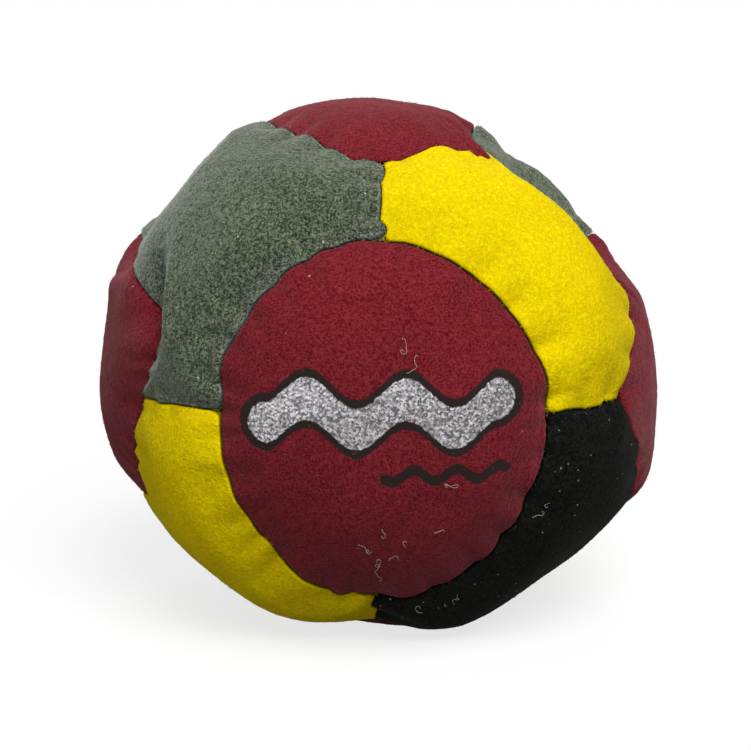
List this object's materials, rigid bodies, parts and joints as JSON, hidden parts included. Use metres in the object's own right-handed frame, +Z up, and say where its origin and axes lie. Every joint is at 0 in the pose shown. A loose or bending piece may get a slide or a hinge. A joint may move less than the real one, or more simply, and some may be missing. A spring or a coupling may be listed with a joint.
{
  "type": "footbag",
  "caption": "Small round footbag sewn from round and three-armed suede panels and part filled with sand, flattened slightly where it rests.",
  "frame": {"origin": "middle of the bag's footprint, on the surface that it rests on", "axes": "+Z up, the front round panel faces -Y, +X to the right seen from the front"},
  "size_m": [0.0536, 0.052, 0.0496],
  "materials": {
    "maroon_suede": "short brushed nap, matte",
    "yellow_suede": "short brushed nap, matte",
    "green_suede": "heather grey-green, short brushed nap, matte",
    "black_suede": "short brushed nap, matte",
    "thread": "twisted polyester sewing thread",
    "sand": "loose dry sand"
  },
  "bodies": {
    "root": {"front_disc": "maroon_suede", "back_disc": "maroon_suede", "left_disc": "maroon_suede", "right_disc": "maroon_suede", "top_disc": "maroon_suede", "bottom_disc": "maroon_suede", "corner_front_top_left": "green_suede", "corner_front_top_right": "yellow_suede", "corner_front_bottom_left": "yellow_suede", "corner_front_bottom_right": "black_suede", "corner_back_top_left": "yellow_suede", "corner_back_top_right": "green_suede", "corner_back_bottom_left": "black_suede", "corner_back_bottom_right": "yellow_suede", "thread_front_disc": "thread", "thread_back_disc": "thread", "thread_left_disc": "thread", "thread_right_disc": "thread", "thread_top_disc": "thread", "thread_bottom_disc": "thread", "closing_thread": "thread", "thread_front_left": "thread", "thread_front_right": "thread", "thread_front_top": "thread", "thread_front_bottom": "thread", "thread_back_left": "thread", "thread_back_right": "thread", "thread_back_top": "thread", "thread_back_bottom": "thread", "thread_left_top": "thread", "thread_left_bottom": "thread", "thread_right_top": "thread", "thread_right_bottom": "thread", "sand_fill": "sand"}
  },
  "joints": []
}
